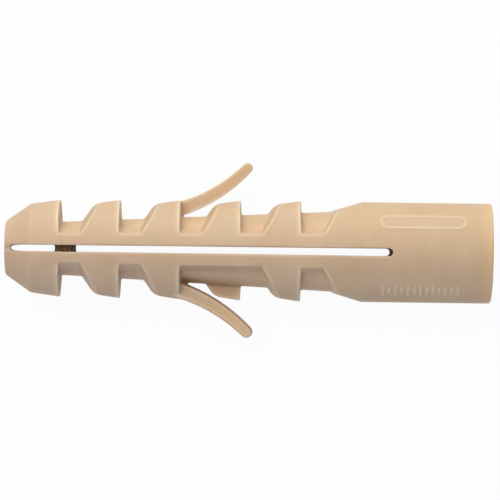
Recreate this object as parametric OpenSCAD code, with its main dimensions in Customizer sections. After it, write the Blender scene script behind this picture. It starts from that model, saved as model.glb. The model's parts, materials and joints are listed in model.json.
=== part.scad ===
// Expansion wall plug, 10 mm by 50 mm, injection-moulded in one piece.
// The axis lies along X: the middle of the head's face is at the origin and the nose points to -X.
// The slot opens upwards and downwards, and the mould parts at the level of the axis (Z = 0).
// A half turn about X brings the plug back onto itself, but one wing is stouter and straighter.

/* [Overall] */
// Length from the head's face to the tip of the nose
plug_l = 50; // [48:0.5:56]
// Diameter of the plain neck, a press fit in a 10 mm hole
neck_d = 10.3; // [9.8:0.1:11]
// Length of the plain neck
neck_l = 13.3; // [12:0.1:15]
// Rounding of the head's outer edge
head_edge_r = 0.1; // [0.05:0.05:0.5]

/* [Nose] */
// Radius of the flat end of the nose
tip_r = 2.7; // [2.2:0.1:3.2]
// Rounding between that end and the cone
tip_edge_r = 0.35; // [0.1:0.05:0.6]
// Length of the blunt cone at the tip
tip_cone_l = 2.6; // [2:0.1:3.2]
// Radius where the blunt cone meets the slim one
tip_cone_r = 4.58; // [4.3:0.02:4.8]

/* [Teeth] */
// Number of toothed crests along each side
teeth = 5; // [4:1:5]
// Distance from the head's face to the back wall of the tooth nearest to it, taken at lean_r
last_back_l = 19.5; // [19:0.1:20]
// Distance from one back wall to the next
pitch = 6.19; // [6:0.01:6.2]
// Crest radius of the tooth at the nose
first_crest_r = 5.02; // [4.9:0.02:5.1]
// Crest radius of the tooth nearest to the head
last_crest_r = 5.17; // [5.1:0.01:5.3]
// Length of a crest that keeps its full radius, before its back wall
crest_land = 0.25; // [0.1:0.05:0.5]
// Length of a tooth's ramp
ramp_l = 2.5; // [2:0.1:3]
// Slope of a tooth's ramp
ramp_a = 8.5; // [6:0.5:11]
// Slope of a tooth's leading flank
flank_a = 56; // [50:1:65]
// Rounding between the flank and the ramp
corner_r = 1.5; // [0.8:0.1:2]
// Draft of a leading flank, from the mould's parting plane outwards
flank_draft = 10.7; // [5:0.1:14]
// Draft of a back wall
wall_draft = 2; // [0:0.5:4]
// Lean of a back wall, whose crest lies nearer to the nose than its foot
wall_lean = 3; // [0:0.5:5]
// Distance from the axis about which the back walls lean
lean_r = 3.3; // [2.9:0.1:4.5]

/* [Core and spines] */
// Radius of the round core at the first gap, behind the nose
core_r_nose = 2.75; // [2.6:0.01:3]
// Radius of the core at the last gap, before the shoulder
core_r_neck = 3.97; // [3.8:0.01:4.2]
// Distance of a spine's outer edge from the middle of the slot, near the nose
spine_w_nose = 1.4; // [1.2:0.05:1.6]
// The same, near the neck
spine_w_neck = 1.6; // [1.4:0.05:1.9]
// Draft of the spines' sides
spine_draft = 14; // [4:1:18]

/* [Shoulder] */
// Slope of the shoulder that leads up to the neck
shoulder_a = 17; // [14:1:20]
// Length of that slope
shoulder_l = 3.2; // [2.6:0.1:3.6]

/* [Slot] */
// Width of the slot near the nose
slot_w_nose = 0.67; // [0.5:0.01:0.8]
// Width of the slot at its round end in the neck
slot_w_neck = 0.77; // [0.6:0.01:0.9]
// Distance from the head's face to the slot's round end
slot_end_l = 10.2; // [9:0.1:11]
// Width of the flat land along each outer edge of the slot
slot_land_w = 0.2; // [0.1:0.05:0.3]
// Width of the slot where it runs out in the tip
slot_w_tip = 0.52; // [0.3:0.02:0.6]
// Length over which the slot narrows to that width
slot_taper_l = 0.8; // [0.5:0.1:1.2]
// Thickness of the web that closes the slot at the tip
tip_web = 0.35; // [0.3:0.05:0.8]
// Depth of that web, measured through the slot
tip_web_d = 5.2; // [2:0.2:5.2]

/* [Bridge] */
// Distance from the head's face to the bridge that ties the two halves
bridge_at = 42.8; // [42:0.1:43.5]
// Length of the bridge along the slot
bridge_l = 2.1; // [1.5:0.1:2.5]
// Depth of the bridge, measured through the slot
bridge_d = 2; // [1.6:0.2:3]
// Number of ribs on each face of the bridge
bridge_ribs = 3; // [2:1:4]
// Width of a rib
bridge_rib_w = 0.25; // [0.2:0.05:0.35]
// Height of a rib
bridge_rib_h = 0.3; // [0.2:0.05:0.4]

/* [Wings] */
// Distance of a wing's middle line from the axis, at its root
wing_root_r = 4.24; // [4.1:0.02:4.3]
// Slope of the middle line at the root
wing_root_a = 18; // [16:1:20]
// Radius of the middle line's curve, in the wing on the +Y side
wing_bend_r = 16.2; // [16:0.1:20]
// The same, in the wing on the -Y side
wing_bend_r_low = 17.1; // [16:0.1:20]
// How far both wings sit towards +Y
wing_shift = 0.04; // [0:0.01:0.06]
// Length of the middle line, from the root to the centre of the round tip
wing_l = 8.05; // [7.5:0.05:9]
// Thickness at the root
wing_t_root = 1.5; // [1.3:0.05:1.6]
// Thickness at the tip
wing_t_tip = 1.1; // [1:0.05:1.3]
// How much thicker the wing on the -Y side is
wing_stout = 0.22; // [0:0.02:0.3]
// Width of a wing, from the parting plane to its outer face
wing_w = 2.2; // [1.8:0.1:2.6]
// Draft of a wing's sides
wing_draft = 5; // [2:1:7]

/* [Screw bore] */
// Diameter of the straight part of the bore
bore_d = 6.4; // [5.6:0.1:6.8]
// Length of the straight part
bore_l = 12; // [11:0.5:13]
// Diameter of the bore at its narrow end
bore_end_d = 2.2; // [1.8:0.1:2.6]

/* [Hidden] */
$fn = 96;

neck_r = neck_d / 2;
bore_r = bore_d / 2;
outside = 1.6 * neck_r;
seam = 0.01;
weld = 0.5;
room_l = 3 * pitch;
tooth_with_wing = teeth - 3;

tip_x = -plug_l;
last_back_x = -last_back_l;
shoulder_x = -neck_l - shoulder_l;
slot_end_x = -slot_end_l - slot_w_neck / 2;
function back_x(i) = last_back_x - (teeth - 1 - i) * pitch;

// Values that change evenly along the toothed body
function along(x, at_nose, at_neck) =
    at_nose + (at_neck - at_nose) * (x - back_x(0)) / (last_back_x - back_x(0));
function crest_r(x) = along(x, first_crest_r, last_crest_r);
function core_r(x) = along(x, core_r_nose, core_r_neck);
function spine_w(x) = along(x, spine_w_nose, spine_w_neck);

function arc(centre, r, from, to, steps = 6) =
    [for (i = [0:steps]) centre + r * [cos(from + (to - from) * i / steps),
                                       sin(from + (to - from) * i / steps)]];

// Centre of the circle through three points
function centre_of(a, b, c) =
    let (d = 2 * (a.x * (b.y - c.y) + b.x * (c.y - a.y) + c.x * (a.y - b.y)),
         aa = a * a, bb = b * b, cc = c * c)
    [(aa * (b.y - c.y) + bb * (c.y - a.y) + cc * (a.y - b.y)) / d,
     (aa * (c.x - b.x) + bb * (a.x - c.x) + cc * (b.x - a.x)) / d];

// Turns a profile of [radius, distance along the axis] about the plug's axis
module revolve() {
    rotate([0, 90, 0]) rotate_extrude() children();
}

// The outer form before the gaps are cut: neck, gently tapered body and blunt nose
module outer_form() {
    tip_cone_x = tip_x + tip_cone_l;
    tip_a = atan2(tip_cone_l, tip_cone_r - tip_r);
    revolve() polygon(concat(
        [[0, tip_x]],
        arc([tip_r - tip_edge_r * tan((90 - tip_a) / 2), tip_x + tip_edge_r],
            tip_edge_r, -90, -90 + tip_a * 0.9),
        [[tip_cone_r, tip_cone_x],
         [first_crest_r, back_x(0)],
         [last_crest_r, last_back_x],
         [neck_r, -neck_l]],
        arc([neck_r - head_edge_r, -head_edge_r], head_edge_r, 0, 90),
        [[0, 0]]));
}

module core() {
    from = back_x(0) - weld;
    to = shoulder_x + weld;
    translate([from, 0, 0]) rotate([0, 90, 0])
        cylinder(h = to - from, r1 = core_r(from), r2 = core_r(to));
}

// Side view of the room in front of a tooth, with the tooth's back wall at x = 0.
// It is bounded by the flank, the rounded corner and the ramp.
module room_ahead(crest, land, length, slope) {
    ramp_top = [-land, crest];
    corner = ramp_top - length * [1, tan(slope)];
    turn = flank_a - slope;
    reach = corner_r * tan(turn / 2);
    start = corner - reach * [cos(flank_a), sin(flank_a)];
    centre = start + corner_r * [sin(flank_a), -cos(flank_a)];
    foot = corner - corner.y * [1 / tan(flank_a), 1];
    over = ramp_top + [1, tan(slope)] * (land + seam);
    polygon(concat(
        [[-room_l, 0], foot],
        arc(centre, corner_r, 90 + flank_a, 90 + slope),
        [over, [over.x, outside], [-room_l, outside]]));
}

// One quarter of a gap: above the axis and on the near side of the parting plane.
// It reaches from the back wall at x = from to the tooth whose back wall is at x = to.
module gap_quarter(from, to, crest, land, length, slope) {
    intersection() {
        translate([from, lean_r, 0]) rotate([0, -wall_draft, wall_lean])
            translate([0, -outside, -outside]) cube([to - from + outside, 2 * outside, 3 * outside]);
        translate([to, 0, 0]) rotate([0, flank_draft, 0])
            translate([0, 0, -outside]) linear_extrude(3 * outside)
                room_ahead(crest, land, length, slope);
        translate([from - outside, spine_w(from), crest_r(from)]) rotate([spine_draft, 0, 0])
            translate([0, 0, -2 * outside]) cube([to - from + 2 * outside, outside, 3 * outside]);
        translate([from - outside, 0, 0]) cube([to - from + 2 * outside, outside, outside]);
    }
}

module tooth_gap(from, to) {
    gap_quarter(back_x(from), back_x(to), crest_r(back_x(to)), crest_land, ramp_l, ramp_a);
}

module shoulder_gap() {
    gap_quarter(last_back_x, -neck_l, neck_r, 0, shoulder_l, shoulder_a);
}

// The quarter with all its teeth
module toothed_quarter() {
    for (i = [0:teeth - 2]) tooth_gap(i, i + 1);
    shoulder_gap();
}

// The quarter where one tooth makes room for a wing
module winged_quarter() {
    for (i = [0:teeth - 2])
        if (i < tooth_with_wing) tooth_gap(i, i + 1);
        else if (i == tooth_with_wing) tooth_gap(i, i + 2);
    shoulder_gap();
}

module gaps() {
    for (turn = [0, 180]) rotate([turn, 0, 0]) {
        toothed_quarter();
        mirror([0, 0, 1]) winged_quarter();
    }
}

// A wing springs from a tooth's back wall and bends away from the body.
// Its sides are cones, because they are drafted from the parting plane.
module wing(bend_r, t_root, t_tip) {
    root_x = back_x(tooth_with_wing);
    middle = [root_x - bend_r * sin(wing_root_a), wing_root_r + bend_r * cos(wing_root_a)];
    bend = wing_l / bend_r * 180 / PI;
    function way(s) = [sin(wing_root_a + bend * s), -cos(wing_root_a + bend * s)];
    function half_t(s) = (t_root + (t_tip - t_root) * s) / 2;
    function edge(s, side) = middle + (bend_r + side * half_t(s)) * way(s);
    inner_c = centre_of(edge(0, 1), edge(0.5, 1), edge(1, 1));
    outer_c = centre_of(edge(0, -1), edge(0.5, -1), edge(1, -1));
    inner_r = norm(edge(0, 1) - inner_c);
    outer_r = norm(edge(0, -1) - outer_c);
    thinner = wing_w * tan(wing_draft);
    root_s = -weld / wing_l;

    intersection() {
        difference() {
            translate(inner_c) cylinder(h = wing_w, r1 = inner_r, r2 = inner_r - thinner);
            translate([outer_c.x, outer_c.y, -weld]) cylinder(
                h = wing_w + 2 * weld,
                r1 = outer_r - weld * tan(wing_draft),
                r2 = outer_r + thinner + weld * tan(wing_draft));
        }
        translate([0, 0, -weld]) linear_extrude(wing_w + 2 * weld)
            polygon([middle, middle + way(root_s) * 2 * bend_r, middle + way(1) * 2 * bend_r]);
    }
    translate(middle + bend_r * way(1))
        cylinder(h = wing_w, r1 = t_tip / 2 - seam, r2 = t_tip / 2 - seam - thinner);
}

module wings() {
    translate([0, wing_shift, 0]) {
        mirror([0, 0, 1]) wing(wing_bend_r, wing_t_root, wing_t_tip);
        mirror([0, 1, 0]) wing(wing_bend_r_low, wing_t_root + wing_stout, wing_t_tip + wing_stout);
    }
}

module slot_end(x, w) {
    translate([x, 0]) circle(d = w - 2 * seam);
}

// Plan of the slot: round in the neck, pointed at the tip
module slot_plan() {
    tip_end_x = tip_x + tip_web + slot_w_tip / 2;
    half = [slot_w_tip, slot_w_nose, slot_w_neck] / 2;
    polygon([
        [tip_end_x, half[0]], [tip_end_x + slot_taper_l, half[1]], [slot_end_x, half[2]],
        [slot_end_x, -half[2]], [tip_end_x + slot_taper_l, -half[1]], [tip_end_x, -half[0]]]);
    slot_end(tip_end_x, slot_w_tip);
    slot_end(slot_end_x, slot_w_neck);
}

module slot() {
    translate([0, 0, -outside]) linear_extrude(2 * outside) slot_plan();
    // The tip's web is set back from both faces
    for (side = [0, 1]) mirror([0, 0, side])
        translate([tip_x - weld, -slot_w_tip / 2, tip_web_d / 2])
            cube([tip_web + weld + slot_w_tip / 2, slot_w_tip, outside]);
}

// What the flat lands take off along the slot's outer edges, down the slight taper of the body
module slot_lands() {
    taper = atan2(last_crest_r - first_crest_r, last_back_x - back_x(0));
    reach = slot_w_neck / 2 + slot_land_w;
    crest = crest_r(slot_end_x);
    for (side = [0, 1]) mirror([0, 0, side])
        translate([slot_end_x, 0, sqrt(crest * crest - reach * reach)]) rotate([0, -taper, 0])
            translate([-plug_l, -reach, 0]) cube([plug_l, 2 * reach, weld]);
}

module bridge() {
    rib_step = bridge_l / (bridge_ribs + 1);
    translate([-bridge_at - bridge_l, -slot_w_neck, -bridge_d / 2])
        cube([bridge_l, 2 * slot_w_neck, bridge_d]);
    for (i = [1:bridge_ribs])
        translate([-bridge_at - bridge_l + i * rib_step - bridge_rib_w / 2, -slot_w_neck,
                   -bridge_d / 2 - bridge_rib_h])
            cube([bridge_rib_w, 2 * slot_w_neck, bridge_d + 2 * bridge_rib_h]);
}

module screw_bore() {
    revolve() polygon([
        [0, weld], [bore_r, weld], [bore_r, -bore_l],
        [bore_end_d / 2, -bridge_at], [0, -bridge_at]]);
}

module wall_plug() {
    color([0.83, 0.71, 0.57]) {
        difference() {
            union() {
                difference() {
                    outer_form();
                    gaps();
                }
                core();
                wings();
            }
            slot();
            slot_lands();
            screw_bore();
        }
        bridge();
    }
}

wall_plug();
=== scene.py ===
# Expansion wall plug for a 10 mm hole, moulded in beige nylon. It lies on a white
# sheet with its slot upwards, and is seen from straight above under soft lamps.

import json
import math

import bmesh
import bpy
from mathutils import Matrix, Vector


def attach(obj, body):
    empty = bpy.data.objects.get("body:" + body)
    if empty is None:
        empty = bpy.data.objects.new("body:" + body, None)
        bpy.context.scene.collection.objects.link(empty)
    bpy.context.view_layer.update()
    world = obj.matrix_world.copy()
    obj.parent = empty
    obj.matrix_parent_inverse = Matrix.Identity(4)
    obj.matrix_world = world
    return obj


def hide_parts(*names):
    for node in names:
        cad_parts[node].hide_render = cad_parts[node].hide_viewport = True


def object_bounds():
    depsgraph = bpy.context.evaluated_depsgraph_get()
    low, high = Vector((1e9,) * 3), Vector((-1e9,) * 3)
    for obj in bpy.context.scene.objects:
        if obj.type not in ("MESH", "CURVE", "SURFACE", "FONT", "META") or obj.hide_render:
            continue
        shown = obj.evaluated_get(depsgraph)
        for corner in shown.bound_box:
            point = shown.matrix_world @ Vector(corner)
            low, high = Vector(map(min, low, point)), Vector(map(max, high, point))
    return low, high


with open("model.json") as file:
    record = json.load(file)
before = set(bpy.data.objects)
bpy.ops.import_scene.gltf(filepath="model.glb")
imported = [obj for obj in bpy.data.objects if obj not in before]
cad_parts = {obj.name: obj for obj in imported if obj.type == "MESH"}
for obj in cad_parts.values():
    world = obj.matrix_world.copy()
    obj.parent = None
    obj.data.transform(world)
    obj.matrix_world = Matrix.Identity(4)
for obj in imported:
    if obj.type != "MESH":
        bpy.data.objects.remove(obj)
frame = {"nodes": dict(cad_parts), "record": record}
cad_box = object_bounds()

# The raised marks on the neck
# The mould has shallow grooves engraved in its wall, which leave soft ridges of nylon on the
# neck: a long empty frame above the slot's end, and a fine scale of bars below it.
neck = next(mount["dims"] for mount in frame["record"]["mounts"] if mount["name"] == "neck")
neck_r = neck["r_mm"]
neck_l = neck["length_mm"]
ridge_h = 0.1
ridge_root = 0.03
ridge_steps = 10
round_steps = 12
frame_centre_x = -7.1
frame_angle = math.radians(37.5)
frame_length = 8.6
frame_width = 1.5
frame_ridge_w = 0.46
bars_centre_x = -7.3
bar_angle = math.radians(-49.5)
bar_count = 13
bar_pitch = 0.64
bar_lengths = (1.6, 1.1)
bar_ridge_w = 0.4
bar_end_size = 0.05
bar_end_growth = 1.8


def ridge(path, ridge_w, closed):
    """A soft ridge along a path of (x, distance round the neck, size from 0 to 1)."""
    count = len(path)
    section = [2 * k / ridge_steps - 1 for k in range(ridge_steps + 1)]
    points = []
    for i, (x, s, size) in enumerate(path):
        before = path[(i - 1) % count] if closed or i else path[i]
        after = path[(i + 1) % count] if closed or i < count - 1 else path[i]
        along = Vector((after[0] - before[0], after[1] - before[1])).normalized()
        half_w = size * ridge_w / 2
        for across in section:
            rise = size * (ridge_h + ridge_root) * (1 + math.cos(math.pi * across)) / 2 - ridge_root
            points.append((x - along.y * half_w * across, s + along.x * half_w * across, rise))
        for edge in (half_w, -half_w):
            points.append((x - along.y * edge, s + along.x * edge, -2 * ridge_root))
    ring = len(section) + 2
    faces = []
    for i in range(count if closed else count - 1):
        for k in range(ring):
            a, b = i * ring, (i + 1) % count * ring
            faces.append((a + k, b + k, b + (k + 1) % ring, a + (k + 1) % ring))
    if not closed:
        faces.append(tuple(range(ring)))
        faces.append(tuple(reversed(range((count - 1) * ring, count * ring))))
    rolled = []
    for x, s, rise in points:
        r = neck_r + rise
        rolled.append((x, r * math.sin(s / neck_r), r * math.cos(s / neck_r)))
    return rolled, faces


def frame_path():
    """A slot shape: two straights joined by half circles."""
    half, r = (frame_length - frame_width) / 2, frame_width / 2
    path = []
    for end in (1, -1):
        for k in range(round_steps + 1):
            turn = math.radians(-90 + 180 / round_steps * k)
            x = frame_centre_x + end * (half + r * math.cos(turn))
            path.append((x, frame_angle * neck_r + end * r * math.sin(turn), 1))
    return path


def bar_path(x, length):
    """A short straight ridge round the neck, with round ends."""
    path = []
    for k in range(round_steps + 1):
        turn = math.pi * k / round_steps
        size = min(1, bar_end_growth * math.sin(turn) + bar_end_size)
        path.append((x, bar_angle * neck_r - length / 2 * math.cos(turn), size))
    return path


ridges = [ridge(frame_path(), frame_ridge_w, True)]
for i in range(bar_count):
    bar_x = bars_centre_x + (i - (bar_count - 1) / 2) * bar_pitch
    ridges.append(ridge(bar_path(bar_x, bar_lengths[i % 2]), bar_ridge_w, False))
mark_points = []
mark_faces = []
for rolled, faces in ridges:
    mark_faces.extend(tuple(len(mark_points) + k for k in face) for face in faces)
    mark_points.extend(rolled)
marks_mesh = bpy.data.meshes.new("neck_marks")
marks_mesh.from_pydata(mark_points, [], mark_faces)

# The lip of the web
# At the tip a thin web, moulded with the plug, ties its two halves. On the side with the raised
# marks it widens into a lip, almost flush with the blunt cone, which closes the end of the slot.
lip_x = (-49.9, -49.31)
lip_top = (2.67, 3.09)
lip_half_w = 0.35
lip_d = 0.5
lip_corners = []
for x, top in zip(lip_x, lip_top):
    for y in (lip_half_w, -lip_half_w):
        lip_corners.extend(((x, y, top - lip_d), (x, y, top)))
lip_sides = [(0, 2, 3, 1), (4, 5, 7, 6), (0, 4, 6, 2), (1, 3, 7, 5), (0, 1, 5, 4), (2, 6, 7, 3)]
lip_mesh = bpy.data.meshes.new("web_lip")
lip_mesh.from_pydata(lip_corners, [], lip_sides)

# The moulding
# The whole plug is one shot of nylon from a two-part mould, so it is one piece here.
# Nylon fills no corner of a mould quite sharply: each edge is round by a tenth of a millimetre.
mm = 0.001
skin_grain = 0.09
smoothing_share = 0.5
smoothing_rounds = 4
most_triangles = 185000
crease_angle = math.radians(38)


def place_piece(name, mesh):
    piece = bpy.data.objects.new(name, mesh)
    bpy.context.scene.collection.objects.link(piece)
    return piece


def settle(piece):
    """Gives the piece the mesh that its modifiers make, and drops them."""
    shaped = bpy.data.meshes.new_from_object(piece.evaluated_get(bpy.context.evaluated_depsgraph_get()))
    piece.modifiers.clear()
    piece.data = shaped


shape = bmesh.new()
shape.from_mesh(frame["nodes"]["wall_plug"].data)
shape.transform(Matrix.Scale(1 / mm, 4))
shape.from_mesh(marks_mesh)
shape.from_mesh(lip_mesh)
plug = place_piece("nylon_plug", bpy.data.meshes.new("nylon_plug"))
shape.to_mesh(plug.data)
shape.free()
skin = plug.modifiers.new("skin", "REMESH")
skin.mode = "VOXEL"
skin.voxel_size = skin_grain
rounding = plug.modifiers.new("rounding", "SMOOTH")
rounding.factor = smoothing_share
rounding.iterations = smoothing_rounds
settle(plug)

# The skin is made of four-sided faces, which are two triangles each
thinning = plug.modifiers.new("thinning", "DECIMATE")
thinning.ratio = most_triangles / (2 * len(plug.data.polygons))
settle(plug)
plug.data.transform(Matrix.Scale(mm, 4))
plug.data.shade_smooth()
plug.data.set_sharp_from_angle(angle=crease_angle)


class Field:
    """One output of a shader node. Maths on it adds Math nodes, and node() adds any other kind."""

    def __init__(self, tree, output=None):
        self.tree = tree
        self.output = output

    def node(self, kind, settings, sockets, out=0):
        made = self.tree.nodes.new(kind)
        for name, value in settings.items():
            setattr(made, name, value)
        for name, value in sockets.items():
            if isinstance(value, Field):
                self.tree.links.new(value.output, made.inputs[name])
            else:
                made.inputs[name].default_value = value
        return Field(self.tree, made.outputs[out])

    def maths(self, operation, first, second):
        return self.node("ShaderNodeMath", {"operation": operation}, {0: first, 1: second})

    def __add__(self, other):
        return self.maths("ADD", self, other)

    __radd__ = __add__

    def __sub__(self, other):
        return self.maths("SUBTRACT", self, other)

    def __rsub__(self, other):
        return self.maths("SUBTRACT", other, self)

    def __mul__(self, other):
        return self.maths("MULTIPLY", self, other)

    __rmul__ = __mul__

    def __truediv__(self, other):
        return self.maths("DIVIDE", self, other)

    def __mod__(self, other):
        return self.maths("FLOORED_MODULO", self, other)

    def __gt__(self, other):
        return self.maths("GREATER_THAN", self, other)

    def __abs__(self):
        return self.maths("ABSOLUTE", self, 0)

    def at_least(self, limit):
        return self.maths("MAXIMUM", self, limit)

    def ramp(self, start, end):
        """0 where this field is at the start, 1 at the end, and never outside 0 to 1."""
        return self.node("ShaderNodeMapRange", {}, {"Value": self, "From Min": start, "From Max": end})

    def part(self, axis):
        """One number of a vector."""
        return self.node("ShaderNodeSeparateXYZ", {}, {0: self}, axis)

    def stretched(self, x, y, z):
        """A vector with each of its numbers multiplied."""
        return self.node("ShaderNodeVectorMath", {"operation": "MULTIPLY"}, {0: self, 1: (x, y, z)})

    def length(self):
        return self.node("ShaderNodeVectorMath", {"operation": "LENGTH"}, {0: self}, "Value")

    def noise(self, scale, detail):
        """Clouds of about 1 / scale across, from 0 to 1, where this field is the place."""
        return self.node("ShaderNodeTexNoise", {}, {"Vector": self, "Scale": scale, "Detail": detail})

    def blend(self, first, second):
        """From the first colour, where this field is 0, to the second, where it is 1."""
        return self.node("ShaderNodeMix", {"data_type": "RGBA"}, {0: self, 6: first, 7: second}, 2)


# A satin nylon, which lets light a little way in, and red light furthest
nylon_sheen = 0.3
light_let_in = 0.25
light_reach = 0.7 * mm
light_reach_by_colour = (1, 0.6, 0.4)
nylon = bpy.data.materials.new("beige nylon")
nylon.use_nodes = True
shader = nylon.node_tree.nodes["Principled BSDF"]
shader.inputs["Specular IOR Level"].default_value = nylon_sheen
shader.inputs["Subsurface Weight"].default_value = light_let_in
shader.inputs["Subsurface Radius"].default_value = light_reach_by_colour
shader.inputs["Subsurface Scale"].default_value = light_reach

# The place on the plug in millimetres, and the distances from its axis and from the slot's middle
tree_start = Field(nylon.node_tree)
place = tree_start.node("ShaderNodeTexCoord", {}, {}, "Object").stretched(1 / mm, 1 / mm, 1 / mm)
from_axis = place.stretched(0, 1, 1).length()
from_slot = abs(place.part("Y"))

# Clouds a few millimetres across, faint flow marks that run round the plug, a blush here and
# there, and the eroded mould's grain. Painted light tints it cooler at the nose, warmer at the head.
beige_pale = (0.7, 0.5, 0.32, 1)
beige_deep = (0.59, 0.39, 0.225, 1)
beige_nose_cool_light = (0.65, 0.445, 0.27, 1)
beige_head_warm_light = (0.655, 0.44, 0.24, 1)
beige_pink = (0.675, 0.43, 0.28, 1)
cloud_share = 0.75
flow_share = 0.25
tone_start = 0.35
tone_range = 0.3
light_tint_drift = (-45, -10)
even_share = 0.55
even_grain = 0.1
blush_start = 0.42
blush_strength = 1.6
clouds = place.noise(scale=0.28, detail=2)
flow_marks = place.stretched(1, 0.12, 0.12).noise(scale=0.9, detail=2)
blush = place.stretched(0.7, 1, 1).noise(scale=0.55, detail=1)
eroded = place.noise(scale=9, detail=3)
tone = (cloud_share * clouds + flow_share * flow_marks - tone_start) / tone_range
two_tone = tone.blend(beige_deep, beige_pale)
# Painted light: the beige drifts from a cool tint at the nose to a warm one at the head
light_tinted_beige = place.part("X").ramp(*light_tint_drift).blend(beige_nose_cool_light, beige_head_warm_light)
evened = (even_share + even_grain * eroded).blend(two_tone, light_tinted_beige)
blushed = (blush_strength * (blush - blush_start)).blend(evened, beige_pink)

# Edges are painted a little paler, as painted light that comes through the thin nylon along each
# edge, most of all far from the slot. The test looks inwards, and meets another face close by where an
# edge is.
beige_edge_light = (0.8, 0.59, 0.39, 1)
edge_reach = 0.3 * mm
edge_test = {"inside": True, "samples": 16}
edge_found = (0.02, 0.1)
edge_growth = (0.5, 2.4)
edge_strength = 0.82
buried = tree_start.node("ShaderNodeAmbientOcclusion", edge_test, {"Distance": edge_reach}, "AO")
at_an_edge = (1 - buried).ramp(*edge_found) * from_slot.ramp(*edge_growth)
edge_lit = (edge_strength * at_an_edge).blend(blushed, beige_edge_light)

# Each tooth is painted paler towards its back wall, as painted light that comes through the tooth
# from behind. The walls are a tooth pitch apart, and lean about a point between foot and crest.
beige_rim_light = (0.84, 0.65, 0.42, 1)
tooth_pitch = 6.19
last_back_x = -19.5
back_lean = math.tan(math.radians(3))
lean_r = 3.3
tooth_foot = (3.7, 4.7)
tooth_crest = (5.7, 5.4)
spine_side = (1.3, 1.9)
rim_w = 0.8
rim_strength = 0.6
ahead_of_walls = last_back_x - place.part("X") - back_lean * (from_slot - lean_r)
on_teeth = from_axis.ramp(*tooth_foot) * from_axis.ramp(*tooth_crest) * from_slot.ramp(*spine_side)
next_to_a_wall = (ahead_of_walls % tooth_pitch).ramp(rim_w, 0)
painted_rim_light = rim_strength * on_teeth * (ahead_of_walls > 0) * next_to_a_wall
rim_lit = painted_rim_light.blend(edge_lit, beige_rim_light)

# The thin wings and the edge of the head's face are painted warmer: painted light that comes through
# them
beige_wing_glow = (0.78, 0.505, 0.24, 1)
beige_face_glow = (0.82, 0.5, 0.24, 1)
wing_root = (5.3, 6.3)
wing_strength = 0.5
face_glow_l = 1.6
face_strength = 0.7
wing_glowed = (wing_strength * from_axis.ramp(*wing_root)).blend(rim_lit, beige_wing_glow)
face_glowed = (face_strength * place.part("X").ramp(-face_glow_l, 0)).blend(wing_glowed, beige_face_glow)

# The tops of the ridges on the neck are painted a shade paler than the neck, a painted highlight
beige_ridge_highlight = (0.76, 0.56, 0.37, 1)
lifted = (from_axis - neck_r) / ridge_h
on_the_neck = place.part("X") > -neck_l
colour = (lifted * on_the_neck).blend(face_glowed, beige_ridge_highlight)

# The line where the mould parts shows as a thin raised seam, on walls but not on flat faces
seam_w = 0.07
seam_depth = 0.03 * mm
eroded_depth = 0.012 * mm
facing = tree_start.node("ShaderNodeNewGeometry", {}, {}, "Normal")
on_a_wall = 1 - abs(facing.part("Z"))
seam = (1 - abs(place.part("Z")) / seam_w).at_least(0) * on_a_wall
relief = eroded * eroded_depth + seam * seam_depth
bump = tree_start.node("ShaderNodeBump", {}, {"Height": relief, "Distance": 1, "Strength": 1})

# The grain of the mould scatters the sheen a little
satin = 0.44
satin_grain = 0.12
satin_clouds = 0.1
roughness = satin + satin_grain * eroded + satin_clouds * clouds

for name, value in (("Base Color", colour), ("Roughness", roughness), ("Normal", bump)):
    nylon.node_tree.links.new(value.output, shader.inputs[name])
plug.data.materials.append(nylon)
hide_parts("wall_plug")
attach(plug, "root")

# The ground
# A plain sheet of white card lies under the plug. The camera sees it white, and otherwise it
# is a plain grey, so that it keeps a faint shadow and throws little light back.
sheet_reach = 1.2
sheet_grey = (0.45, 0.45, 0.45, 1)
sheet_white = (0.9, 0.9, 0.9, 1)
sheet_roughness = 0.9
sheet_glow = 0.95
white_light = {"Color": (1, 1, 1, 1), "Strength": 1}


def seen_rays(start):
    """1 where the camera sees a surface, directly or in a reflection, and 0 for its light elsewhere."""
    camera_ray = start.node("ShaderNodeLightPath", {}, {}, "Is Camera Ray")
    glossy_ray = start.node("ShaderNodeLightPath", {}, {}, "Is Glossy Ray")
    clear_ray = start.node("ShaderNodeLightPath", {}, {}, "Is Transmission Ray")
    return camera_ray + glossy_ray + clear_ray


sheet_z = cad_box[0][2]
sheet_ways = ((-1, -1), (1, -1), (1, 1), (-1, 1))
sheet_corners = [(x * sheet_reach, y * sheet_reach, sheet_z) for x, y in sheet_ways]
sheet_mesh = bpy.data.meshes.new("white_sheet")
sheet_mesh.from_pydata(sheet_corners, [], [(0, 1, 2, 3)])
sheet = place_piece("white_sheet", sheet_mesh)
card = bpy.data.materials.new("white card")
card.use_nodes = True
card_start = Field(card.node_tree)
card_shader = card.node_tree.nodes["Principled BSDF"]
card_shader.inputs["Roughness"].default_value = sheet_roughness
seen = seen_rays(card_start)
card.node_tree.links.new(seen.blend(sheet_grey, sheet_white).output, card_shader.inputs["Base Color"])
glow = card_start.node("ShaderNodeEmission", {}, white_light)
lit = Field(card.node_tree, card_shader.outputs[0])
mixed = card_start.node("ShaderNodeMixShader", {}, {0: sheet_glow * seen, 1: lit, 2: glow})
card.node_tree.links.new(mixed.output, card.node_tree.nodes["Material Output"].inputs["Surface"])
sheet_mesh.materials.append(card)

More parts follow.
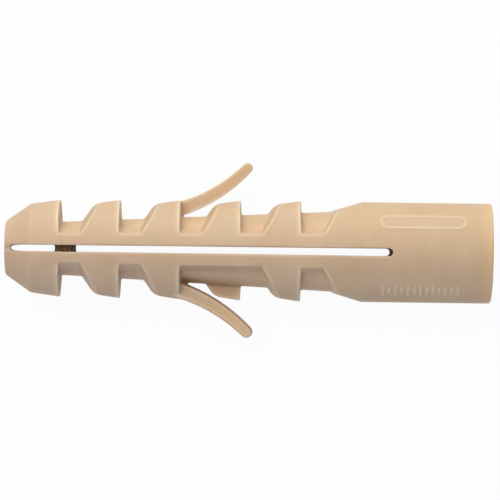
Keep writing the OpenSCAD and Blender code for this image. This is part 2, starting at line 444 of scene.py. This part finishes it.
# The lamps
# Daylight comes over the plug's upper side in the picture, low down, and from higher up
# beside its nose. A smaller and cooler light near the viewer fills in the lower side.
plug_middle = Vector((-25, 0, 0)) * mm
lamp_distance = 0.45
lamp_size = 0.3
softboxes = [
    # name, azimuth, elevation, power, colour
    ("low_window", 90, 15, 1.22, (0.96, 1, 0.97)),
    ("high_window", 135, 62, 1.1, (1, 0.97, 0.93)),
    ("at_the_viewer", 270, 15, 0.47, (0.76, 0.78, 1)),
]
for name, azimuth, elevation, power, tint in softboxes:
    lamp = place_piece(name, bpy.data.lights.new(name, "AREA"))
    turn, rise = math.radians(azimuth), math.radians(elevation)
    away = Vector((math.cos(turn) * math.cos(rise), math.sin(turn) * math.cos(rise), math.sin(rise)))
    lamp.location = plug_middle + away * lamp_distance
    lamp.rotation_euler = away.to_track_quat("Z", "Y").to_euler()
    lamp.data.size = lamp_size
    lamp.data.energy = power
    lamp.data.color = tint

# The room round them is dim and a little blue, and the camera sees it as white as the card
room_light = 0.4
room_tint = (0.6, 0.75, 1, 1)
room = bpy.data.worlds.new("room")
bpy.context.scene.world = room
room.use_nodes = True
walls = room.node_tree.nodes["Background"]
walls.inputs["Color"].default_value = room_tint
walls.inputs["Strength"].default_value = room_light
room_start = Field(room.node_tree)
backdrop = room_start.node("ShaderNodeBackground", {}, white_light)
dim = Field(room.node_tree, walls.outputs[0])
all_round = room_start.node("ShaderNodeMixShader", {}, {0: seen_rays(room_start), 1: dim, 2: backdrop})
room.node_tree.links.new(all_round.output, room.node_tree.nodes["World Output"].inputs["Surface"])

# The camera
# It looks straight down into the slot from a third of a metre away. The plug lies
# a little askew in the picture, with its head to the right and slightly low.
view_distance = 351 * mm
view_width = 51.6 * mm
view_centre = (-24.81 * mm, 0.07 * mm)
view_start = 10 * mm
plug_slant = math.radians(0.73)
sensor_width = 36
camera = place_piece("camera", bpy.data.cameras.new("camera"))
camera.location = (*view_centre, view_distance)
camera.rotation_euler = (0, 0, plug_slant)
camera.data.sensor_width = sensor_width
camera.data.lens = sensor_width * view_distance / view_width
camera.data.clip_start = view_start
bpy.context.scene.camera = camera
bpy.context.scene.view_settings.view_transform = "Standard"
